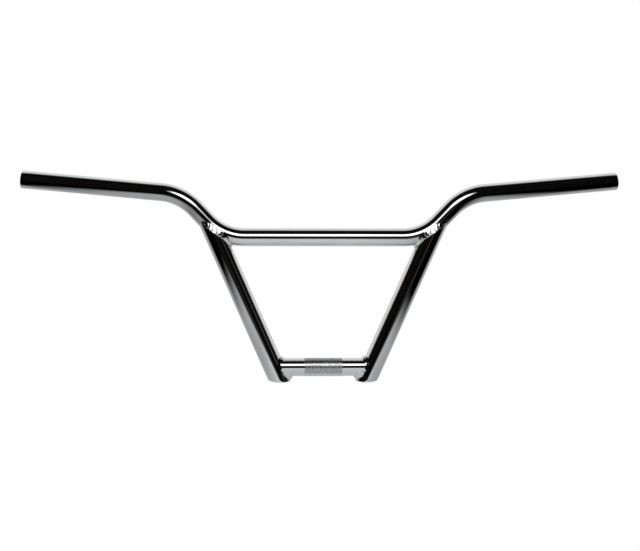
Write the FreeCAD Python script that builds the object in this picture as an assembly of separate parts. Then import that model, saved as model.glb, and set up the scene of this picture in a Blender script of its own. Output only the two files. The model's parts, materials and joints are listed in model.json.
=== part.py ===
import FreeCAD, Part
import math
import os

from FreeCAD import Vector

# BMX handlebar: a bent top bar on two legs, with a knurled clamp bar between them, all welded.
# The origin is the middle of the clamp bar. +X runs along the clamp bar to the rider's left,
# +Y points back towards the rider and +Z is up. Lengths are in millimetres, angles in degrees.

# Top bar
overall_width = 741.0
bar_diameter = 22.2
bar_wall = 1.5
bar_end_chamfer = 0.4
centre_height = 159.3
inner_corner_half_span = 123.2
rise_angle = 46.2
rise_corner_distance = 72.9
inner_bend_radius = 61.0
outer_bend_radius = 63.5
backsweep_angle = 11.0
upsweep_angle = 4.7

# Legs and their caps
leg_diameter = 25.4
leg_wall = 1.2
leg_half_span_at_clamp = 60.6
leg_lean_angle = 24.0
leg_ear_drop = 5.5
foot_depth = 17.9
cap_thickness = 2.9
cap_curve_radius = 59.0

# Clamp bar
clamp_diameter = 22.2
clamp_wall = 2.4
knurl_length = 46.5
knurl_height = 0.2

# Welds: how far one fills a corner, and how thin it is on a leg's outer side and over its front;
# and the straight bead over each ear of a leg, measured from the top bar's centre line and inner bend
weld_size = 3.2
weld_outer_size = 0.8
weld_front_size = 1.2
ear_bead_radius = 3.0
ear_bead_offset = 10.5
ear_bead_drop = 7.8
ear_bead_start_angle = 14.0
ear_bead_reach = 8.0

# Room that a cutting body has past the piece that it cuts, and how close two equal points lie
cut_margin = 20.0
same_place = 0.01

bar_radius = bar_diameter / 2
leg_radius = leg_diameter / 2
clamp_radius = clamp_diameter / 2
cut_half_depth = leg_radius + cut_margin
origin = Vector(0, 0, 0)
across = Vector(0, 1, 0)


def on_plane(x, z):
    """A point on the plane that the clamp bar, the legs and the lower bends lie in."""
    return Vector(x, 0, z)


def mirrored(shape):
    """The same shape on the rider's other side."""
    return shape.mirror(origin, Vector(1, 0, 0))


def rod(start, end, radius):
    """A round solid rod from one point to another."""
    run = end - start
    return Part.makeCylinder(radius, run.Length, start, run)


def bent_rod(corners, bend_radii, radius):
    """A round solid rod along straight runs, with a bend of its own radius at each corner."""
    pieces = []
    start = corners[0]
    for before, corner, after, bend_radius in zip(corners, corners[1:], corners[2:], bend_radii):
        incoming = (corner - before).normalize()
        outgoing = (after - corner).normalize()
        turn = incoming.getAngle(outgoing)
        setback = bend_radius * math.tan(turn / 2)
        bend_start = corner - incoming * setback
        bend_axis = incoming.cross(outgoing).normalize()
        bend_centre = bend_start + bend_axis.cross(incoming) * bend_radius
        section = Part.Face(Part.Wire(Part.makeCircle(radius, bend_start, incoming)))
        pieces.append(rod(start, bend_start, radius))
        pieces.append(section.revolve(bend_centre, bend_axis, math.degrees(turn)))
        start = corner + outgoing * setback
    pieces.append(rod(start, corners[-1], radius))
    return pieces[0].multiFuse(pieces[1:]).removeSplitter()


# The top bar's centre line, from its middle out to the rider's left hand
rise = math.radians(rise_angle)
sweep = math.radians(backsweep_angle)
upsweep = math.radians(upsweep_angle)
rise_direction = on_plane(math.cos(rise), math.sin(rise))
level_direction = Vector(math.cos(sweep), math.sin(sweep), 0)
grip_direction = level_direction * math.cos(upsweep) + Vector(0, 0, math.sin(upsweep))
inner_corner = on_plane(inner_corner_half_span, centre_height)
outer_corner = inner_corner + rise_direction * rise_corner_distance
end_overhang = bar_radius * math.sqrt(1 - grip_direction.x ** 2)
grip_reach = overall_width / 2 - end_overhang - outer_corner.x
grip_end = outer_corner + grip_direction * (grip_reach / grip_direction.x)

left_corners = [inner_corner, outer_corner, grip_end]
right_corners = [Vector(-corner.x, corner.y, corner.z) for corner in reversed(left_corners)]
bar_corners = right_corners + left_corners
bar_bends = [outer_bend_radius, inner_bend_radius, inner_bend_radius, outer_bend_radius]


def make_top_bar():
    """The bent tube, open at both ends, with its outer end edges eased."""
    bore_corners = list(bar_corners)
    bore_corners[0] = bar_corners[0] + (bar_corners[0] - bar_corners[1]).normalize()
    bore_corners[-1] = bar_corners[-1] + (bar_corners[-1] - bar_corners[-2]).normalize()
    bore = bent_rod(bore_corners, bar_bends, bar_radius - bar_wall)
    tube = bar_rod.cut(bore)
    end_edges = []
    for end in (bar_corners[0], bar_corners[-1]):
        rims = [edge for edge in tube.Edges if edge.CenterOfMass.isEqual(end, same_place)]
        end_edges.append(max(rims, key=lambda rim: rim.Length))
    return tube.makeChamfer(bar_end_chamfer, end_edges)


# The left leg's centre line, and the way across it to its outer side
leg_lean = math.radians(leg_lean_angle)
leg_outward = on_plane(math.cos(leg_lean), -math.sin(leg_lean))


def leg_point(z):
    """The point of the left leg's centre line at a height."""
    return on_plane(leg_half_span_at_clamp + z * math.tan(leg_lean), z)


def leg_rod(radius):
    """The left leg's centre line as a solid rod, from below its foot to above the top bar."""
    return rod(leg_point(-foot_depth - cut_margin), leg_point(outer_corner.z + cut_margin), radius)


def bend_point(turn, drop):
    """The point this far below the top bar's centre line, at a turn of its left inner bend."""
    setback = inner_bend_radius * math.tan(rise / 2)
    bend_centre = on_plane(inner_corner.x - setback, centre_height + inner_bend_radius)
    return bend_centre + on_plane(math.sin(turn), -math.cos(turn)) * (inner_bend_radius + drop)


def above_bar(drop):
    """All that lies above a surface this far below the top bar's centre line, on the left side."""
    bend_points = [bend_point(turn, drop) for turn in (0, rise / 2, rise)]
    middle = on_plane(0, bend_points[0].z)
    far = bend_points[2] + rise_direction * (rise_corner_distance + cut_margin)
    outline = Part.Wire([
        Part.makeLine(middle, bend_points[0]),
        Part.Arc(*bend_points).toShape(),
        Part.makeLine(bend_points[2], far),
        Part.makeLine(far, on_plane(0, far.z)),
        Part.makeLine(on_plane(0, far.z), middle),
    ])
    outline.translate(across * -cut_half_depth)
    return Part.Face(outline).extrude(across * (2 * cut_half_depth))


def slab(low, high):
    """All between two heights, on the left side."""
    corner = Vector(0, -cut_half_depth, low)
    return Part.makeBox(overall_width, 2 * cut_half_depth, high - low, corner)


cap_top = cap_thickness - foot_depth


def make_left_leg():
    """A straight tube with its top coped to the bar as far as the ears, and its foot cut level."""
    tube = leg_rod(leg_radius).cut(leg_rod(leg_radius - leg_wall))
    tube = tube.common(slab(cap_top, outer_corner.z))
    return tube.cut(bar_rod).cut(above_bar(leg_ear_drop))


def make_left_cap():
    """A plate as wide as the leg's level foot, curved underneath from side to side."""
    plate = leg_rod(leg_radius).common(slab(-foot_depth, cap_top))
    curve_centre = leg_point(-foot_depth) + on_plane(0, cap_curve_radius)
    reach = across * cut_half_depth
    return plate.common(rod(curve_centre - reach, curve_centre + reach, cap_curve_radius))


def make_clamp_bar():
    """A straight tube with both ends coped to the legs, and a raised band in the middle for the knurl."""
    solid = rod(leg_point(0) * -1, leg_point(0), clamp_radius)
    knurl_end = on_plane(knurl_length / 2, 0)
    band = rod(knurl_end * -1, knurl_end, clamp_radius + knurl_height)
    bore = rod(leg_point(0) * -1, leg_point(0), clamp_radius - clamp_wall)
    left_cope = leg_rod(leg_radius)
    return solid.fuse(band).cut(bore).cut(left_cope).cut(mirrored(left_cope))


def ear_bead(offset):
    """The straight round bead over an ear, this far behind the top bar's centre line."""
    start = bend_point(math.radians(ear_bead_start_angle), ear_bead_drop)
    end = bend_point(rise, ear_bead_drop) + rise_direction * ear_bead_reach
    return rod(start + across * offset, end + across * offset, ear_bead_radius)


def make_upper_left_weld():
    """The weld round the leg's coped top: it fills the corner to the bar and covers both ears."""
    near_bar = bent_rod(bar_corners, bar_bends, bar_radius + weld_size).cut(above_bar(leg_ear_drop))
    near_leg = leg_rod(leg_radius + (weld_size + weld_outer_size) / 2)
    near_leg.translate(leg_outward * ((weld_outer_size - weld_size) / 2))
    filled_leg = leg_rod(leg_radius).cut(above_bar(leg_ear_drop))
    beads = near_bar.fuse([ear_bead(-ear_bead_offset), ear_bead(ear_bead_offset)])
    return near_leg.common(beads).cut(bar_rod).cut(filled_leg)


def make_lower_left_weld():
    """The weld round the clamp bar's coped end: it fills the corner to the leg."""
    top = on_plane(0, clamp_radius + weld_size)
    front = across * (clamp_radius + weld_front_size)
    oval = Part.Face(Part.Wire(Part.Ellipse(top, front, origin).toShape()))
    near_clamp = oval.extrude(leg_point(0))
    weld = near_clamp.common(leg_rod(leg_radius + weld_size))
    return weld.cut(rod(origin, leg_point(0), clamp_radius)).cut(leg_rod(leg_radius))


bar_rod = bent_rod(bar_corners, bar_bends, bar_radius)
left_leg = make_left_leg()
left_cap = make_left_cap()
left_welds = [make_upper_left_weld(), make_lower_left_weld()]
nodes = {
    "top_bar": make_top_bar(),
    "left_leg": left_leg,
    "right_leg": mirrored(left_leg),
    "clamp_bar": make_clamp_bar(),
    "left_leg_cap": left_cap,
    "right_leg_cap": mirrored(left_cap),
    "weld_beads": Part.makeCompound(left_welds + [mirrored(bead) for bead in left_welds]),
}

os.makedirs("parts", exist_ok=True)
for name, shape in nodes.items():
    shape.exportStep("parts/" + name + ".step")
    print(name, "solids", len(shape.Solids), "valid", shape.isValid(), "volume", round(shape.Volume, 1))
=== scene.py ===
import json
import math

import bmesh
import bpy
import numpy as np
from mathutils import Matrix, Vector


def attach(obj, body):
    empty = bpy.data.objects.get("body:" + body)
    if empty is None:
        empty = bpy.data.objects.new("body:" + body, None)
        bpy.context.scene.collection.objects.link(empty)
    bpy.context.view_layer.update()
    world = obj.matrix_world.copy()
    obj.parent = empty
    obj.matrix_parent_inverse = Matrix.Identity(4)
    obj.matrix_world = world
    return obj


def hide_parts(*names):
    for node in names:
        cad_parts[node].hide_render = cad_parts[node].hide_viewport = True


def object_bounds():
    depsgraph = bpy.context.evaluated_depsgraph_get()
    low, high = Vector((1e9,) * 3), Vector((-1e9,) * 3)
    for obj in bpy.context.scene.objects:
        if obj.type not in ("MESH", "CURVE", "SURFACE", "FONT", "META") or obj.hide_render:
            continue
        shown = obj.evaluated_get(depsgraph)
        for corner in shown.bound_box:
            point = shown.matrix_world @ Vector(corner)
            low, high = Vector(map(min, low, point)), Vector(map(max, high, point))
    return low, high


# A chromed BMX handlebar, hung in a white studio: a bent top bar on two legs, with a knurled
# clamp bar between them, all welded. Lengths are in metres and angles in degrees.

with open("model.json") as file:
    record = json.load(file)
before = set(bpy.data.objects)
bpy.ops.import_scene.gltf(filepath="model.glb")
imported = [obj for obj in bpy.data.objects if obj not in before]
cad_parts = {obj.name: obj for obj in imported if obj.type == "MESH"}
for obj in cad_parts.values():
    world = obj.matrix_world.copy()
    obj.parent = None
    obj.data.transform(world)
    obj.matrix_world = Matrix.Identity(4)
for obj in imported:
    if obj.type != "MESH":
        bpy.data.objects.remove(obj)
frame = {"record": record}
cad_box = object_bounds()
mounts = {mount["name"]: mount for mount in frame["record"]["mounts"]}

# Top bar
half_width = cad_box[1].x
bar_radius = 0.0111
bar_bore_radius = 0.0096
bar_end_round = 0.0004
centre_height = 0.1593
inner_corner_half_span = 0.1232
rise_angle = 46.2
rise_corner_distance = 0.0729
inner_bend_radius = 0.061
outer_bend_radius = 0.0635

# Legs and their caps
leg_radius = 0.0127
leg_bore_radius = 0.0115
leg_half_span_at_clamp = 0.0606
leg_lean_angle = 24.0
leg_ear_drop = 0.0055
foot_depth = 0.0179
cap_thickness = 0.0029
cap_curve_radius = 0.059
cap_edge_round = 0.0009
cap_edge_rise_share = 0.6

# Clamp bar and its knurl
clamp_radius = 0.0111
clamp_bore_radius = 0.0087
knurl_length = mounts["stem_clamp"]["dims"]["length_mm"] / 1000
knurl_crest_radius = mounts["stem_clamp"]["dims"]["r_mm"] / 1000
knurl_valley_radius = 0.01118
knurl_diamonds_round = 64
knurl_diamonds_along = 40
knurl_flat_share = 0.66

# Welds: how far each reaches along the tube that ends there and along the other tube, and how full
# it is, at a leg's sides and at its front; and how high its ripples stand
upper_weld = {"end": (0.0032, 0.0004), "other": (0.0028, 0.01), "fill": (1.6, 1.6), "ripple": 0.0005}
lower_weld = {"end": (0.0046, 0.0022), "other": (0.0042, 0.0026), "fill": (1.15, 0.2), "ripple": 0.00012}
weld_cover = 0.0009
weld_slimming = 0.9
weld_slimming_reach = (0.3, 0.8)
weld_root_depth = 0.0004
weld_toe_sink = 0.00005
ripple_pitch = 0.006
ripple_rise = 0.2
ripple_lag = 0.9
ripple_unevenness = 0.16
weld_seeds = {"left": 3, "right": 8}

# Fineness of the meshes
steps_round_tube = 128
step_along_tube = 0.012
bend_step_angle = 1.5
bar_lip_rings = 5
cap_edge_rings = 6
cap_underside_rings = 16
clamp_end_rings = 5
clamp_bore_rings = 15
steps_per_ripple = 16
steps_across_bead = 16
weld_edge_samples = 4001
cope_search_steps = 40
disc_sides = 96

# Angles in degrees past which the edges of a mesh stay sharp
tube_sharp_angle = 50
cap_sharp_angle = 40
knurl_sharp_angle = 25
weld_sharp_angle = 60

# Chrome: clouds in its tone, wipes in its polish and a fine grain, in features a metre
cloud_scale = 38.0
cloud_detail = 4.0
cloud_range = (0.3, 0.7)
wipe_scale = 140.0
wipe_detail = 5.0
wipe_range = (0.3, 0.75)
grain_detail = 3.0
grain_strength = 0.25

# Camera
camera_place = Vector((-0.15161, -2.28891, 0.26759))
camera_yaw = 3.686
camera_pitch = 3.8662
camera_roll = -0.2582
camera_lens = 105.667
camera_sensor_width = 36.0

# Floor
floor_height = -0.5
floor_centre_y = -0.3
floor_radius = 1.9
floor_white_from = 0.75
floor_white_to = 1.45
floor_dark = (0.78, 0.78, 0.78)
floor_light = (0.82, 0.82, 0.82)
floor_cloud_scale = 3.0
floor_cloud_detail = 3.0
floor_roughness = 0.9

# Paper under the bar as a painted reflection: a glowing card that only reflections show, with a painted
# pool of light under the lamp, painted shade under the bar, dimmer sides and a painted backlight towards
# the back
paper_height = -0.1
paper_tint = (0.962, 0.986, 1.0, 1)
paper_half_width = 1.3
paper_front = -1.3
paper_back = 0.6
paper_front_fade = (-1.3, -0.4)
paper_lamp_fade = (-0.4, 0.0)
paper_under_lamp = 0.92
paper_shade_under_bar = 0.72
strip_middle = -0.018
strip_side_fade = (0.08, 0.26)
strip_falloff_at_side = 0.7
strip_edge_fade = (0.33, 0.53)
strip_widening = (-0.08, 0.106)
paper_behind_bar = 0.91
paper_back_fade = (0.0, 0.5)
paper_backlight = 0.2

# Soft light: a lamp, and its painted highlight, a glowing disc that only reflections show
softbox_place = Vector((0.04, -1.12, 0.79))
softbox_target = Vector((0.0, 0.0, 0.13))
softbox_highlight_bright_radius = 0.16
softbox_highlight_radius = 0.58
softbox_stretch = 0.62
softbox_radiance = 4.0
lamp_size = 0.95

# Backdrop, and the dark room before it, a painted reflection that only reflections see while diffuse light
# sees the even ambient
backdrop_fade = (-0.03, 0.42)
horizon_fade = (0.05, 0.12)
reflected_room_dark = (0.003, 0.0028, 0.0026)
reflected_room_light = (0.012, 0.0095, 0.008)
room_scale = 5.0
room_detail = 4.0
room_range = (0.45, 0.75)
ambient_colour = (0.62, 0.62, 0.63, 1)

# Painted glints in the dark room, seen only in reflections: the way to each, how much brighter than the
# room it is, and their soft edge
painted_glints = (((0.77, -0.586, 0.251), 19.0), ((0.153, -0.983, -0.102), 9.0))
glint_fade = (0.99, 0.998)


# Shared mesh tools

def grid_faces(rows, columns):
    """Quads over rows of points that close round on themselves, with the last row joined to the first."""
    faces = []
    for row in range(rows):
        next_row = (row + 1) % rows
        for column in range(columns):
            next_column = (column + 1) % columns
            faces.append((
                row * columns + column,
                row * columns + next_column,
                next_row * columns + next_column,
                next_row * columns + column,
            ))
    return faces


def mirrored(points):
    """The same points on the rider's other side."""
    return np.asarray(points) * np.array((-1.0, 1.0, 1.0))


def add_piece(name, points, faces, materials, nodes, sharp_angle, face_materials=None):
    """A closed mesh, with its faces turned outward, that rides with the bar and stands for its nodes."""
    mesh = bpy.data.meshes.new(name)
    mesh.from_pydata(np.asarray(points).tolist(), [], faces)
    for material in materials:
        mesh.materials.append(material)
    if face_materials is not None:
        mesh.polygons.foreach_set("material_index", face_materials)
    shape = bmesh.new()
    shape.from_mesh(mesh)
    bmesh.ops.recalc_face_normals(shape, faces=shape.faces)
    shape.to_mesh(mesh)
    shape.free()
    mesh.shade_smooth()
    mesh.set_sharp_from_angle(angle=math.radians(sharp_angle))
    mesh.update()
    piece = bpy.data.objects.new(name, mesh)
    bpy.context.scene.collection.objects.link(piece)
    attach(piece, "root")
    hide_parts(*nodes)


# Shapes that the pieces share: the top bar's centre line, and the left leg's axis

rise = math.radians(rise_angle)
rise_direction = Vector((math.cos(rise), 0, math.sin(rise)))
grip_direction = Vector(mounts["left_grip"]["axis"]).normalized()
inner_corner = Vector((inner_corner_half_span, 0, centre_height))
outer_corner = inner_corner + rise_direction * rise_corner_distance
end_overhang = bar_radius * math.sqrt(1 - grip_direction.x ** 2)
grip_end = outer_corner + grip_direction * ((half_width - end_overhang - outer_corner.x) / grip_direction.x)
inner_bend_x = inner_corner_half_span - inner_bend_radius * math.tan(rise / 2)
inner_bend_z = centre_height + inner_bend_radius

leg_lean = math.radians(leg_lean_angle)
leg_foot = np.array((leg_half_span_at_clamp, 0.0, 0.0))
leg_up = np.array((math.sin(leg_lean), 0.0, math.cos(leg_lean)))
leg_out = np.array((math.cos(leg_lean), 0.0, -math.sin(leg_lean)))
leg_back = np.array((0.0, 1.0, 0.0))


def unit(vectors):
    """Each vector at a length of one."""
    return vectors / np.linalg.norm(vectors, axis=-1, keepdims=True)


def nearest_on_bar(points):
    """The nearest points of the top bar's centre line near the left leg, and its upright there."""
    turn = np.clip(np.arctan2(points[..., 0] - inner_bend_x, inner_bend_z - points[..., 2]), 0, rise)
    zero = np.zeros_like(turn)
    tangent = np.stack((np.cos(turn), zero, np.sin(turn)), axis=-1)
    upright = np.stack((-np.sin(turn), zero, np.cos(turn)), axis=-1)
    bend_centre = np.array((inner_bend_x, 0.0, inner_bend_z))
    on_line = bend_centre - upright * inner_bend_radius
    along = np.sum((points - on_line) * tangent, axis=-1, keepdims=True)
    return on_line + tangent * along, upright


def bar_normal(points):
    """The way out of the top bar's surface at points near it."""
    return unit(points - nearest_on_bar(points)[0])


def onto_bar(points):
    """Points moved onto the top bar's surface."""
    return nearest_on_bar(points)[0] + bar_normal(points) * bar_radius


def leg_normal(points):
    """The way out of the left leg's surface at points near it."""
    along = (points - leg_foot) @ leg_up
    return unit(points - leg_foot - along[..., None] * leg_up)


def onto_leg(points):
    """Points moved onto the left leg's surface."""
    along = (points - leg_foot) @ leg_up
    return leg_foot + along[..., None] * leg_up + leg_normal(points) * leg_radius


def leg_points(angles, radius, along):
    """Points at these angles round the left leg's axis and these lengths up from the clamp bar."""
    across = np.cos(angles)[..., None] * leg_out + np.sin(angles)[..., None] * leg_back
    return leg_foot + across * radius + np.asarray(along)[..., None] * leg_up


def leg_length_at_height(angles, radius, height):
    """How far up the left leg each line on its surface reaches a height."""
    start = leg_points(angles, radius, np.zeros_like(angles))
    return (height - start[..., 2]) / leg_up[2]


def leg_length_at_bar(angles, radius):
    """How far up the left leg each line on its surface meets the bar, or ends at the top of an ear."""
    low = np.zeros_like(angles)
    high = np.full_like(angles, outer_corner.length)
    for _ in range(cope_search_steps):
        middle = (low + high) / 2
        points = leg_points(angles, radius, middle)
        on_line, upright = nearest_on_bar(points)
        in_bar = np.linalg.norm(points - on_line, axis=-1) < bar_radius
        past_ear = np.sum((points - on_line) * upright, axis=-1) > -leg_ear_drop
        past = in_bar | past_ear
        high = np.where(past, middle, high)
        low = np.where(past, low, middle)
    return (low + high) / 2


def angles_round(count):
    """Angles evenly spaced round a full turn."""
    return np.arange(count) * (2 * math.pi / count)


# Materials

def node_material(name):
    """A new material with its nodes, links and main shader."""
    material = bpy.data.materials.new(name)
    material.use_nodes = True
    nodes = material.node_tree.nodes
    return material, nodes, material.node_tree.links, nodes["Principled BSDF"]


def glow_material(name):
    """A new material that only glows, with its nodes, links and glow."""
    material, nodes, links, shader = node_material(name)
    nodes.remove(shader)
    glow = nodes.new("ShaderNodeEmission")
    links.new(glow.outputs[0], nodes["Material Output"].inputs["Surface"])
    return material, nodes, links, glow


def add_noise(nodes, links, coordinates, scale, detail):
    """Noise over coordinates, with so many features to each unit of them."""
    noise = nodes.new("ShaderNodeTexNoise")
    noise.inputs["Scale"].default_value = scale
    noise.inputs["Detail"].default_value = detail
    links.new(coordinates, noise.inputs["Vector"])
    return noise.outputs["Fac"]


def add_ramp(nodes, links, value, from_range, low_colour, high_colour):
    """A value turned into a colour between two others."""
    ramp = nodes.new("ShaderNodeValToRGB")
    ramp.color_ramp.elements[0].position = from_range[0]
    ramp.color_ramp.elements[0].color = (*low_colour, 1)
    ramp.color_ramp.elements[1].position = from_range[1]
    ramp.color_ramp.elements[1].color = (*high_colour, 1)
    links.new(value, ramp.inputs["Fac"])
    return ramp.outputs["Color"]


def add_range(nodes, links, value, from_range, to_range, smooth=False):
    """A value moved from one range to another and held inside it."""
    node = nodes.new("ShaderNodeMapRange")
    node.interpolation_type = "SMOOTHSTEP" if smooth else "LINEAR"
    node.inputs["From Min"].default_value = from_range[0]
    node.inputs["From Max"].default_value = from_range[1]
    node.inputs["To Min"].default_value = to_range[0]
    node.inputs["To Max"].default_value = to_range[1]
    links.new(value, node.inputs["Value"])
    return node.outputs["Result"]


def add_math(nodes, links, operation, first, second):
    """Two values, either of them a link or a number, put through one operation."""
    node = nodes.new("ShaderNodeMath")
    node.operation = operation
    for socket, value in zip(node.inputs, (first, second)):
        if isinstance(value, (int, float)):
            socket.default_value = value
        else:
            links.new(value, socket)
    return node.outputs[0]


def make_chrome(name, dark, light, roughness, grain_scale, grain_depth):
    """Plated steel: slight clouds in its tone and polish, over a fine grain."""
    material, nodes, links, shader = node_material(name)
    coordinates = nodes.new("ShaderNodeTexCoord").outputs["Object"]
    clouds = add_noise(nodes, links, coordinates, cloud_scale, cloud_detail)
    tone = add_ramp(nodes, links, clouds, cloud_range, dark, light)
    links.new(tone, shader.inputs["Base Color"])
    wipes = add_noise(nodes, links, coordinates, wipe_scale, wipe_detail)
    polish = add_range(nodes, links, wipes, wipe_range, roughness)
    links.new(polish, shader.inputs["Roughness"])
    grain = add_noise(nodes, links, coordinates, grain_scale, grain_detail)
    bump = nodes.new("ShaderNodeBump")
    bump.inputs["Strength"].default_value = grain_strength
    bump.inputs["Distance"].default_value = grain_depth
    links.new(grain, bump.inputs["Height"])
    links.new(bump.outputs["Normal"], shader.inputs["Normal"])
    shader.inputs["Metallic"].default_value = 1.0
    return material


chrome = make_chrome(
    "chrome",
    dark=(0.585, 0.588, 0.592),
    light=(0.625, 0.628, 0.632),
    roughness=(0.02, 0.06),
    grain_scale=420.0,
    grain_depth=0.00002,
)
weld_chrome = make_chrome(
    "weld_chrome",
    dark=(0.56, 0.563, 0.567),
    light=(0.62, 0.622, 0.625),
    roughness=(0.05, 0.12),
    grain_scale=700.0,
    grain_depth=0.00004,
)
knurl_chrome = make_chrome(
    "knurl_chrome",
    dark=(0.55, 0.553, 0.558),
    light=(0.62, 0.623, 0.628),
    roughness=(0.21, 0.27),
    grain_scale=1600.0,
    grain_depth=0.00003,
)


# Pieces

def half_bar_line():
    """The top bar's centre line from its middle to the left end, with two ways across it at each point."""
    corners = [Vector((0, 0, centre_height)), inner_corner, outer_corner, grip_end]
    bends = [inner_bend_radius, outer_bend_radius]
    back, up = Vector((0, 1, 0)), Vector((0, 0, 1))
    line = []
    start = corners[0]
    for before, corner, after, bend_radius in zip(corners, corners[1:], corners[2:], bends):
        incoming = (corner - before).normalized()
        outgoing = (after - corner).normalized()
        turn = incoming.angle(outgoing)
        bend_axis = incoming.cross(outgoing).normalized()
        bend_start = corner - incoming * bend_radius * math.tan(turn / 2)
        bend_centre = bend_start + bend_axis.cross(incoming) * bend_radius
        runs = math.ceil((bend_start - start).length / step_along_tube)
        line += [(start.lerp(bend_start, run / runs), back, up) for run in range(runs)]
        bend_steps = math.ceil(math.degrees(turn) / bend_step_angle)
        for step in range(bend_steps):
            spin = Matrix.Rotation(turn * step / bend_steps, 3, bend_axis)
            line.append((bend_centre + spin @ (bend_start - bend_centre), spin @ back, spin @ up))
        spin = Matrix.Rotation(turn, 3, bend_axis)
        back, up = spin @ back, spin @ up
        start = bend_centre + spin @ (bend_start - bend_centre)
    runs = math.ceil((grip_end - start).length / step_along_tube)
    end = grip_end - grip_direction * bar_end_round
    line += [(start.lerp(end, run / runs), back, up) for run in range(runs + 1)]
    return line


def ring(centre, back, up, radius, angles):
    """A circle of points round a tube's centre line."""
    across = np.cos(angles)[:, None] * np.array(back) + np.sin(angles)[:, None] * np.array(up)
    return np.array(centre) + across * radius


def end_rings(back, up, angles):
    """The rounded lip of the top bar's left end, from its outside to its bore."""
    middle_radius = (bar_radius + bar_bore_radius) / 2
    half_wall = (bar_radius - bar_bore_radius) / 2
    rings = []
    quarter = np.linspace(0, math.pi / 2, bar_lip_rings)
    for side, turns in ((1, quarter), (-1, quarter[::-1])):
        for turn in turns:
            radius = middle_radius + side * (half_wall - bar_end_round * (1 - math.cos(turn)))
            centre = grip_end - grip_direction * bar_end_round * (1 - math.sin(turn))
            rings.append(ring(centre, back, up, radius, angles))
    return rings


def make_top_bar():
    """The bent tube with its bore, as one closed skin."""
    angles = angles_round(steps_round_tube)
    line = half_bar_line()
    left_outside = [ring(*point, bar_radius, angles) for point in line]
    left_inside = [ring(*point, bar_bore_radius, angles) for point in line]
    lip = end_rings(*line[-1][1:], angles)[1:-1]
    left = left_outside + lip + left_inside[::-1]
    right = [mirrored(points) for points in left[::-1]][1:-1]
    rows = left + right
    faces = grid_faces(len(rows), steps_round_tube)
    add_piece("top_bar_tube", np.concatenate(rows), faces, [chrome], ["top_bar"],
              tube_sharp_angle)


def make_leg(side):
    """A straight tube with its top coped to the bar and its foot cut level, as one closed skin."""
    angles = angles_round(steps_round_tube)
    rows = []
    for radius, upward in ((leg_radius, True), (leg_bore_radius, False)):
        foot = leg_length_at_height(angles, radius, cap_thickness - foot_depth)
        top = leg_length_at_bar(angles, radius)
        runs = math.ceil(top.max() / step_along_tube)
        shares = np.linspace(0, 1, runs + 1)
        for share in shares if upward else shares[::-1]:
            rows.append(leg_points(angles, radius, foot + (top - foot) * share))
    points = np.concatenate(rows)
    faces = grid_faces(len(rows), steps_round_tube)
    if side == "right":
        points = mirrored(points)
    add_piece(side + "_leg_tube", points, faces, [chrome], [side + "_leg"], tube_sharp_angle)


def make_leg_cap(side):
    """The plate that closes a leg's foot, with a rounded rim, curved underneath from side to side."""
    angles = angles_round(steps_round_tube)
    top = leg_length_at_height(angles, leg_radius, cap_thickness - foot_depth)
    lowest = leg_foot + leg_up * (-foot_depth / leg_up[2])
    curve_centre = lowest + np.array((0.0, 0.0, cap_curve_radius))
    # Each line down the leg's surface ends at the rim, where it meets the curve underneath
    surface = leg_points(angles, leg_radius, np.zeros_like(angles)) - curve_centre
    half_b = surface @ leg_up
    from_curve = np.sum(surface[:, ::2] ** 2, axis=-1) - cap_curve_radius ** 2
    rim_length = -half_b - np.sqrt(half_b ** 2 - from_curve)
    rim = leg_points(angles, leg_radius, rim_length)

    def underside(share):
        across = (rim - lowest)[:, :2] * share
        drop = np.sqrt(cap_curve_radius ** 2 - across[:, 0] ** 2)
        return np.column_stack((lowest[:2] + across, curve_centre[2] - drop))

    above_rim = leg_points(angles, leg_radius, rim_length + cap_edge_round * cap_edge_rise_share)
    edge_share = 1 - cap_edge_round / leg_radius
    below_rim = underside(edge_share)
    rows = [leg_points(angles, leg_radius, top)]
    for share in np.linspace(0, 1, cap_edge_rings):
        rows.append(above_rim * (1 - share) ** 2 + rim * 2 * share * (1 - share) + below_rim * share ** 2)
    rows += [underside(share) for share in np.linspace(edge_share, 0, cap_underside_rings)[1:-1]]
    top_middle = leg_foot + leg_up * ((cap_thickness - foot_depth) / leg_up[2])
    points = np.concatenate(rows + [[lowest], [top_middle]])
    faces = grid_faces(len(rows), steps_round_tube)[:-steps_round_tube]
    bottom_start = (len(rows) - 1) * steps_round_tube
    lowest_index = len(rows) * steps_round_tube
    for column in range(steps_round_tube):
        next_column = (column + 1) % steps_round_tube
        faces.append((bottom_start + column, bottom_start + next_column, lowest_index))
        faces.append((next_column, column, lowest_index + 1))
    if side == "right":
        points = mirrored(points)
    add_piece(side + "_foot_cap", points, faces, [chrome], [side + "_leg_cap"], cap_sharp_angle)


def clamp_point(x, angle, radius):
    """A point round the clamp bar's axis."""
    return np.array((x, radius * math.cos(angle), radius * math.sin(angle)))


def clamp_length_at_leg(angles, radius):
    """How far out each line on the clamp bar's surface meets the left leg."""
    back = radius * np.cos(angles)
    height = radius * np.sin(angles)
    to_leg = height * math.sin(leg_lean) - np.sqrt(leg_radius ** 2 - back ** 2)
    return leg_half_span_at_clamp + to_leg / math.cos(leg_lean)


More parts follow.
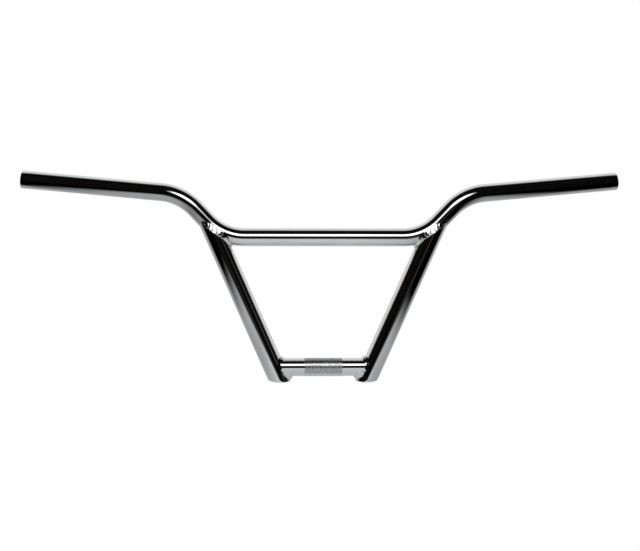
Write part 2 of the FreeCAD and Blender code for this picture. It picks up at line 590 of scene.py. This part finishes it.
def knurl_mesh(points, faces):
    """Adds the knurl's diamonds, each a low pyramid with a worn flat top, and returns its two end rows."""
    columns = 2 * knurl_diamonds_round
    last = knurl_diamonds_along
    column_angle = 2 * math.pi / columns
    row_step = knurl_length / (2 * last)
    index = {}

    def lattice(column, row):
        key = (column % columns, row)
        if key not in index:
            index[key] = len(points)
            points.append(clamp_point(row * row_step, key[0] * column_angle, knurl_valley_radius))
        return index[key]

    def crest(column, row):
        points.append(clamp_point(row * row_step, column * column_angle, knurl_crest_radius))
        return len(points) - 1

    for row in range(-last, last + 1):
        for column in range(columns):
            if (column + row) % 2 == 0:
                continue
            corners = [(column + 1, row), (column, row + 1), (column - 1, row), (column, row - 1)]
            if abs(row) == last:
                inward = corners[3] if row == last else corners[1]
                tip = lattice(*inward)
                end_row = [lattice(column + 1, row), lattice(column, row), lattice(column - 1, row)]
                faces.append((tip, end_row[0], end_row[1]))
                faces.append((tip, end_row[1], end_row[2]))
                continue
            outline = [lattice(*corner) for corner in corners]
            flat = [
                crest(column + (c - column) * knurl_flat_share, row + (r - row) * knurl_flat_share)
                for c, r in corners
            ]
            for here in range(4):
                after = (here + 1) % 4
                faces.append((outline[here], flat[here], flat[after], outline[after]))
            faces.append(tuple(flat))
    return [[lattice(column, row) for column in range(columns)] for row in (-last, last)]


def make_clamp_bar():
    """A straight tube coped to both legs, with a band of knurl in its middle, as one closed skin."""
    points, faces = [], []
    right_row, left_row = knurl_mesh(points, faces)
    knurl_faces = len(faces)
    columns = len(left_row)
    angles = angles_round(columns)
    half_band = knurl_length / 2
    outside = clamp_length_at_leg(angles, clamp_radius)
    inside = clamp_length_at_leg(angles, clamp_bore_radius)
    shares = np.linspace(0, 1, clamp_end_rings)
    bore_shares = np.linspace(1, -1, clamp_bore_rings)
    lengths = [(clamp_radius, half_band + (outside - half_band) * share) for share in shares]
    lengths += [(clamp_bore_radius, inside * share) for share in bore_shares]
    lengths += [(clamp_radius, -half_band - (outside - half_band) * share) for share in shares[::-1]]
    rows = [left_row]
    for radius, length in lengths:
        rows.append(range(len(points), len(points) + columns))
        points += [clamp_point(x, angle, radius) for x, angle in zip(length, angles)]
    rows.append(right_row)
    for row, next_row in zip(rows, rows[1:]):
        for column in range(columns):
            after = (column + 1) % columns
            faces.append((row[column], row[after], next_row[after], next_row[column]))
    face_materials = [1] * knurl_faces + [0] * (len(faces) - knurl_faces)
    add_piece("clamp_bar_tube", points, faces, [chrome, knurl_chrome], ["clamp_bar"],
              knurl_sharp_angle, face_materials)


weld_edge_angles = np.linspace(0, 2 * math.pi, weld_edge_samples)


def edge_lengths(edge):
    """The lengths between neighbouring samples of a closed edge."""
    return np.linalg.norm(np.diff(edge(weld_edge_angles), axis=0), axis=1)


def even_angles(edge, count):
    """Angles at which the points of a closed edge are evenly spaced along it."""
    travelled = np.concatenate(([0.0], np.cumsum(edge_lengths(edge))))
    return np.interp(np.arange(count) / count * travelled[-1], travelled, weld_edge_angles)


def on_outer_side(points):
    """How far points lie round to the left leg's outer side, from none to all."""
    share = np.interp(leg_normal(points) @ leg_out, weld_slimming_reach, (0, 1))
    return (share ** 2 * (3 - 2 * share))[:, None]


def on_front(points):
    """How far points lie round to the left leg's front or back, from none to all."""
    return (leg_normal(points) @ leg_back)[:, None] ** 2


def weld_bead(edge, normal_a, normal_b, onto_a, onto_b, size, seed):
    """A rippled bead along an edge where tube A ends on tube B, closed at its root."""
    chance = np.random.default_rng(seed)
    ripples = round(edge_lengths(edge).sum() / ripple_pitch)
    count = ripples * steps_per_ripple
    angles = even_angles(edge, count)
    corner = edge(angles)
    tangent = unit(np.roll(corner, -1, axis=0) - np.roll(corner, 1, axis=0))
    out_a, out_b = normal_a(corner), normal_b(corner)
    along_a = unit(np.cross(tangent, out_a))
    along_b = unit(np.cross(out_b, tangent))
    outward = unit(out_a + out_b)

    ripple = np.arange(count) / steps_per_ripple
    sizes = 1 + ripple_unevenness * chance.uniform(-1, 1, ripples)
    swell = np.interp(ripple, np.arange(ripples + 1), np.append(sizes, sizes[0]))[:, None]
    swell *= 1 - weld_slimming * on_outer_side(corner)
    end_toe, other_toe, fill = (
        at_side + (at_front - at_side) * on_front(corner)
        for at_side, at_front in (size["end"], size["other"], size["fill"])
    )
    start_a = onto_a(corner + along_a * end_toe * swell) - out_a * weld_toe_sink
    start_b = onto_b(corner + along_b * other_toe * swell) - out_b * weld_toe_sink
    chord_height = np.sum(((start_a + start_b) / 2 - corner) * outward, axis=-1, keepdims=True)
    lift = np.maximum(chord_height * fill, np.where(chord_height < 0, weld_cover * swell, 0))
    pull = corner + outward * lift

    rows = []
    for share in np.linspace(0, 1, steps_across_bead + 1):
        curve = start_a * (1 - share) ** 2 + pull * 2 * share * (1 - share) + start_b * share ** 2
        phase = (ripple - ripple_lag * (2 * share - 1) ** 2) % 1.0
        scale = np.interp(phase, (0, ripple_rise, 1), (-0.5, 0.5, -0.5))
        crown = 4 * share * (1 - share)
        rows.append(curve + outward * (scale * crown * size["ripple"] * swell[:, 0])[:, None])
    rows.append(corner - outward * weld_root_depth)
    return np.concatenate(rows), grid_faces(len(rows), count)


def upper_edge(angles):
    """The edge of the left leg's coped top."""
    return leg_points(angles, leg_radius, leg_length_at_bar(angles, leg_radius))


def lower_edge(angles):
    """The edge of the clamp bar's coped left end, down the front and up the back."""
    return np.column_stack((
        clamp_length_at_leg(-angles, clamp_radius),
        -clamp_radius * np.cos(angles),
        -clamp_radius * np.sin(angles),
    ))


def clamp_normal(points):
    """The way out of the clamp bar's surface at points near it."""
    return unit(points * np.array((0.0, 1.0, 1.0)))


def onto_clamp(points):
    """Points moved onto the clamp bar's surface."""
    return points * np.array((1.0, 0.0, 0.0)) + clamp_normal(points) * clamp_radius


def make_weld_beads():
    """The four beads: round the tops of both legs, and round both ends of the clamp bar."""
    points, faces = [], []
    first = 0
    for side, seed in weld_seeds.items():
        beads = [
            weld_bead(upper_edge, leg_normal, bar_normal, onto_leg, onto_bar, upper_weld, seed),
            weld_bead(lower_edge, clamp_normal, leg_normal, onto_clamp, onto_leg, lower_weld, seed + 1),
        ]
        for bead_points, bead_faces in beads:
            if side == "right":
                bead_points = mirrored(bead_points)
            points.append(bead_points)
            faces += [tuple(first + corner for corner in face) for face in bead_faces]
            first += len(bead_points)
    add_piece("rippled_welds", np.concatenate(points), faces, [weld_chrome], ["weld_beads"],
              weld_sharp_angle)


make_top_bar()
for side in ("left", "right"):
    make_leg(side)
    make_leg_cap(side)
make_clamp_bar()
make_weld_beads()


# Studio

def add_disc(name, radius, stretch):
    """A flat round mesh, with its height stretched."""
    angles = angles_round(disc_sides)
    points = [(radius * math.cos(angle), radius * stretch * math.sin(angle), 0.0) for angle in angles]
    mesh = bpy.data.meshes.new(name)
    mesh.from_pydata(points, [], [tuple(range(len(points)))])
    disc = bpy.data.objects.new(name, mesh)
    bpy.context.scene.collection.objects.link(disc)
    return disc


def show_in_reflections_only(card):
    """A card that the bar mirrors, and that neither the camera nor the light meets."""
    card.visible_camera = False
    card.visible_diffuse = False
    card.visible_shadow = False


def distance_from_middle(nodes, links, stretch):
    """How far a point lies from its object's middle, with its height measured in a stretched unit."""
    scale = nodes.new("ShaderNodeVectorMath")
    scale.operation = "MULTIPLY"
    scale.inputs[1].default_value = (1.0, 1.0 / stretch, 0.0)
    links.new(nodes.new("ShaderNodeTexCoord").outputs["Object"], scale.inputs[0])
    length = nodes.new("ShaderNodeVectorMath")
    length.operation = "LENGTH"
    links.new(scale.outputs[0], length.inputs[0])
    return length.outputs["Value"]


def make_floor():
    """A pale round floor below the picture, which keeps the bar's shadow and fades to white at its rim."""
    floor = add_disc("floor", floor_radius, 1.0)
    floor.location = (0, floor_centre_y, floor_height)
    floor.visible_glossy = False
    material, nodes, links, shader = node_material("studio_floor")
    coordinates = nodes.new("ShaderNodeTexCoord").outputs["Object"]
    clouds = add_noise(nodes, links, coordinates, floor_cloud_scale, floor_cloud_detail)
    tone = add_ramp(nodes, links, clouds, cloud_range, floor_dark, floor_light)
    links.new(tone, shader.inputs["Base Color"])
    shader.inputs["Roughness"].default_value = floor_roughness
    distance = distance_from_middle(nodes, links, 1.0)
    rim = add_range(nodes, links, distance, (floor_white_from, floor_white_to), (0, 1), smooth=True)
    path = nodes.new("ShaderNodeLightPath").outputs
    white = nodes.new("ShaderNodeEmission")
    mix = nodes.new("ShaderNodeMixShader")
    links.new(add_math(nodes, links, "MULTIPLY", path["Is Camera Ray"], rim), mix.inputs["Fac"])
    links.new(shader.outputs[0], mix.inputs[1])
    links.new(white.outputs[0], mix.inputs[2])
    links.new(mix.outputs[0], nodes["Material Output"].inputs["Surface"])
    floor.data.materials.append(material)


def make_painted_paper_reflection():
    """The white paper under the bar, wide behind it and a strip before it, as its tubes mirror it: a
    painted reflection, a glowing card with a pool of light and shade painted into its glow.
    """
    front_corners = [(x, paper_front, paper_height) for x in (-paper_half_width, paper_half_width)]
    back_corners = [(x, paper_back, paper_height) for x in (paper_half_width, -paper_half_width)]
    mesh = bpy.data.meshes.new("paper")
    mesh.from_pydata(front_corners + back_corners, [], [(0, 1, 2, 3)])
    paper = bpy.data.objects.new("paper", mesh)
    bpy.context.scene.collection.objects.link(paper)
    show_in_reflections_only(paper)
    material, nodes, links, glow = glow_material("painted_paper_reflection")
    glow.inputs["Color"].default_value = paper_tint
    place = nodes.new("ShaderNodeSeparateXYZ")
    links.new(nodes.new("ShaderNodeTexCoord").outputs["Object"], place.inputs[0])
    across, along = place.outputs["X"], place.outputs["Y"]
    from_middle = add_math(nodes, links, "SUBTRACT", across, strip_middle)
    aside = add_math(nodes, links, "ABSOLUTE", from_middle, 0.0)
    front = add_range(nodes, links, along, paper_front_fade, (0, 1), smooth=True)
    # painted pool of light and painted shade: the glow is brighter under the lamp and dimmer under the bar
    lamp = add_range(nodes, links, along, paper_lamp_fade, (paper_under_lamp, paper_shade_under_bar))
    strip = add_range(nodes, links, aside, strip_edge_fade, (1, 0), smooth=True)
    # painted fall-off: the strip glows dimmer towards its sides
    side = add_range(nodes, links, aside, strip_side_fade, (1, strip_falloff_at_side), smooth=True)
    behind = add_range(nodes, links, along, strip_widening, (0, paper_behind_bar), smooth=True)
    # painted backlight: the paper glows brighter towards the back
    back = add_range(nodes, links, along, paper_back_fade, (0, paper_backlight), smooth=True)
    width = add_math(nodes, links, "MAXIMUM", strip, behind)
    lit = front
    for share in (lamp, side, width):
        lit = add_math(nodes, links, "MULTIPLY", lit, share)
    links.new(add_math(nodes, links, "ADD", lit, back), glow.inputs["Strength"])
    mesh.materials.append(material)


def make_world():
    """White all round for the camera; reflections see a white backdrop and a painted dark room with painted
    bright glints, while diffuse light sees an even ambient.
    """
    world = bpy.data.worlds.new("studio")
    world.use_nodes = True
    bpy.context.scene.world = world
    nodes, links = world.node_tree.nodes, world.node_tree.links
    direction = nodes.new("ShaderNodeTexCoord").outputs["Generated"]
    split = nodes.new("ShaderNodeSeparateXYZ")
    links.new(direction, split.inputs[0])
    backdrop = add_range(nodes, links, split.outputs["Y"], backdrop_fade, (0, 1), smooth=True)
    height = add_math(nodes, links, "ABSOLUTE", split.outputs["Z"], 0.0)
    clear_of_horizon = add_range(nodes, links, height, horizon_fade, (0, 1), smooth=True)
    # painted reflection: a dark room with paler things in it, seen only by reflections
    things = add_noise(nodes, links, direction, room_scale, room_detail)
    dark = nodes.new("ShaderNodeBackground")
    links.new(add_ramp(nodes, links, things, room_range, reflected_room_dark, reflected_room_light), dark.inputs["Color"])
    room_strength = 1.0
    # painted glints: bright spots in the room that only reflections see
    for glint_direction, glint_glow in painted_glints:
        facing = nodes.new("ShaderNodeVectorMath")
        facing.operation = "DOT_PRODUCT"
        facing.inputs[1].default_value = glint_direction
        links.new(direction, facing.inputs[0])
        window = add_range(nodes, links, facing.outputs["Value"], glint_fade, (0, glint_glow),
                           smooth=True)
        room_strength = add_math(nodes, links, "ADD", room_strength, window)
    links.new(room_strength, dark.inputs["Strength"])
    ambient = nodes["Background"]
    ambient.inputs["Color"].default_value = ambient_colour
    white = nodes.new("ShaderNodeBackground")
    white.inputs["Color"].default_value = (1, 1, 1, 1)
    path = nodes.new("ShaderNodeLightPath").outputs
    mirrored_ray = add_math(nodes, links, "MAXIMUM", path["Is Glossy Ray"], path["Is Transmission Ray"])
    white_part = add_math(nodes, links, "MULTIPLY", backdrop, clear_of_horizon)
    white_ray = add_math(nodes, links, "MULTIPLY", mirrored_ray, white_part)
    white_seen = add_math(nodes, links, "MAXIMUM", path["Is Camera Ray"], white_ray)
    shown = ambient.outputs[0]
    for share, shader in ((mirrored_ray, dark), (white_seen, white)):
        mix = nodes.new("ShaderNodeMixShader")
        links.new(share, mix.inputs["Fac"])
        links.new(shown, mix.inputs[1])
        links.new(shader.outputs[0], mix.inputs[2])
        shown = mix.outputs[0]
    links.new(shown, nodes["World Output"].inputs["Surface"])


def make_softbox():
    """One large soft light above the camera: a lamp, and its painted highlight, a glowing disc that only
    the bar's reflections show and that lights nothing.
    """
    turn = (softbox_target - softbox_place).to_track_quat("-Z", "Y").to_euler()
    light = bpy.data.lights.new("softbox", "AREA")
    light.shape = "ELLIPSE"
    light.size = lamp_size
    light.size_y = lamp_size * softbox_stretch
    light.energy = softbox_radiance * math.pi * (math.pi / 4 * light.size * light.size_y)
    softbox = bpy.data.objects.new("softbox", light)
    softbox.visible_camera = False
    softbox.visible_glossy = False
    bpy.context.scene.collection.objects.link(softbox)
    # painted highlight: a glowing disc seen only in reflections, which lights nothing
    highlight_disc = add_disc("softbox_painted_highlight", softbox_highlight_radius, softbox_stretch)
    show_in_reflections_only(highlight_disc)
    for thing in (softbox, highlight_disc):
        thing.location = softbox_place
        thing.rotation_euler = turn
    material, nodes, links, glow = glow_material("softbox_painted_highlight")
    distance = distance_from_middle(nodes, links, softbox_stretch)
    fade = add_range(nodes, links, distance, (softbox_highlight_bright_radius, softbox_highlight_radius),
                     (softbox_radiance, 0), smooth=True)
    links.new(fade, glow.inputs["Strength"])
    highlight_disc.data.materials.append(material)


def make_camera():
    """The camera at the photograph's angle."""
    data = bpy.data.cameras.new("camera")
    data.sensor_fit = "HORIZONTAL"
    data.sensor_width = camera_sensor_width
    data.lens = camera_lens
    camera = bpy.data.objects.new("camera", data)
    yaw, pitch, roll = (math.radians(angle) for angle in (camera_yaw, camera_pitch, camera_roll))
    turn = Matrix.Rotation(-yaw, 3, "Z") @ Matrix.Rotation(math.pi / 2 - pitch, 3, "X")
    camera.rotation_euler = (turn @ Matrix.Rotation(-roll, 3, "Z")).to_euler()
    camera.location = camera_place
    bpy.context.scene.collection.objects.link(camera)
    bpy.context.scene.camera = camera


make_floor()
make_painted_paper_reflection()
make_world()
make_softbox()
make_camera()
bpy.context.scene.view_settings.view_transform = "Standard"
